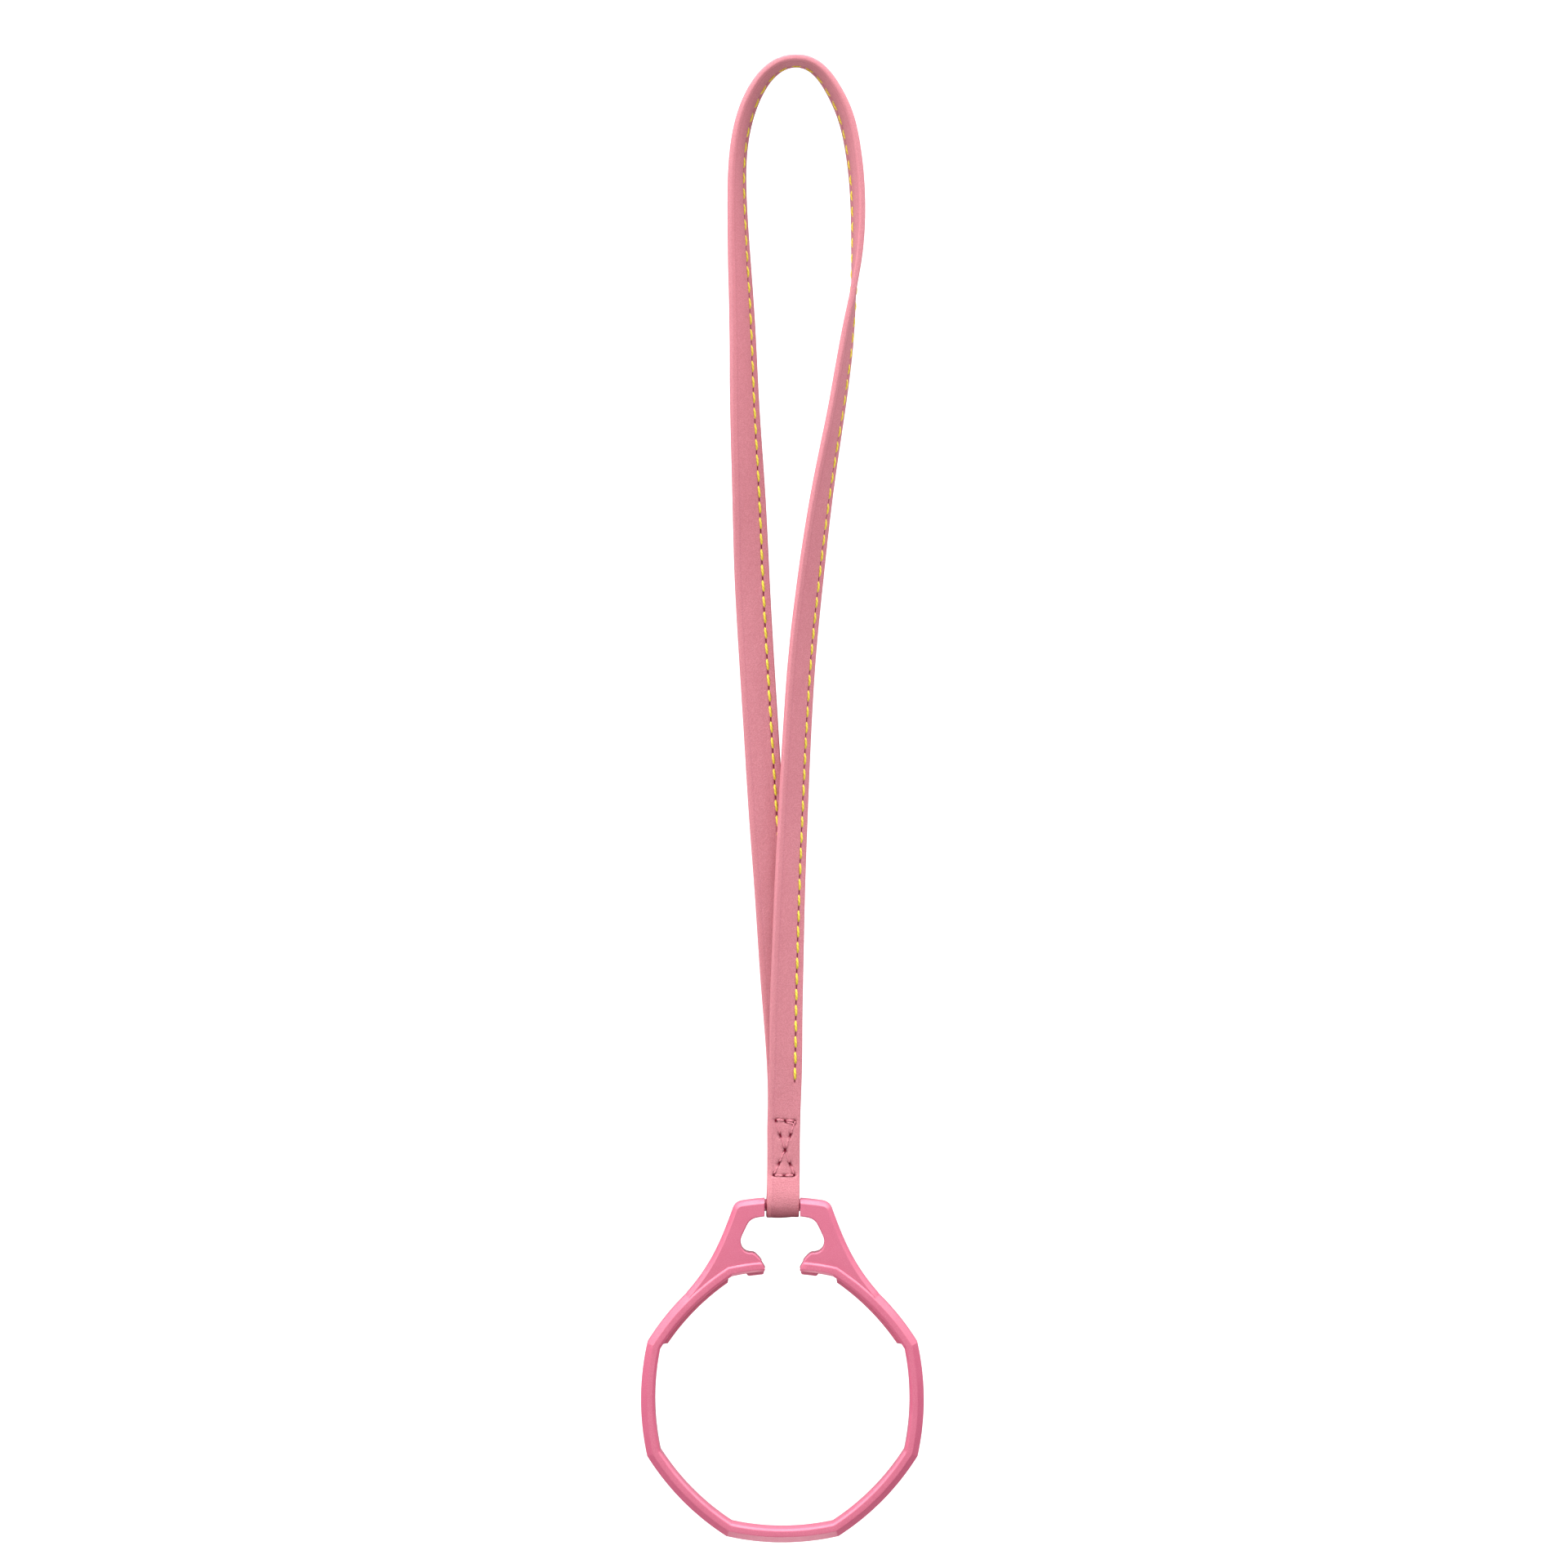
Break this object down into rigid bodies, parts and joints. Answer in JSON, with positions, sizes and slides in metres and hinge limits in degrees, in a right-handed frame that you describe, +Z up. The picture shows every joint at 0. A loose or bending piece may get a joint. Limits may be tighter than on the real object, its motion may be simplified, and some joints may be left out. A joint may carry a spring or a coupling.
{
  "type": "wrist strap with octagonal snap-in holder",
  "caption": "Flat leather wrist loop, sewn round the bar of a moulded eight-sided snap-in holder ring that is open between two jaws.",
  "frame": {"origin": "middle of the footprint, on the table that the strap lies on", "axes": "+Y along the strap from the holder to the top of the loop, +X to the right, +Z up from the table, out of the holder's bevelled front"},
  "size_m": [0.0442, 0.2324, 0.0053],
  "materials": {
    "holder_plastic": "satin moulded plastic, dusty pink",
    "strap_leather": "smooth fine-grained leather, rose pink",
    "core_tape": "undyed woven tape",
    "seam_thread": "glossy yellow sewing thread",
    "tack_thread": "pink sewing thread"
  },
  "bodies": {
    "holder": {"holder_frame": "holder_plastic"},
    "strap": {"strap_leather": "strap_leather", "strap_core_tape": "core_tape", "seam_needle_thread": "seam_thread", "seam_bobbin_thread": "seam_thread", "tack_needle_thread": "tack_thread", "tack_bobbin_thread": "tack_thread"}
  },
  "joints": [
    {"name": "strap_swing", "type": "hinge", "parent": "holder", "child": "strap", "pos_m": [0, -0.06357, 0.00237], "axis": [1, 0, 0], "range_deg": [-145, 145]}
  ]
}
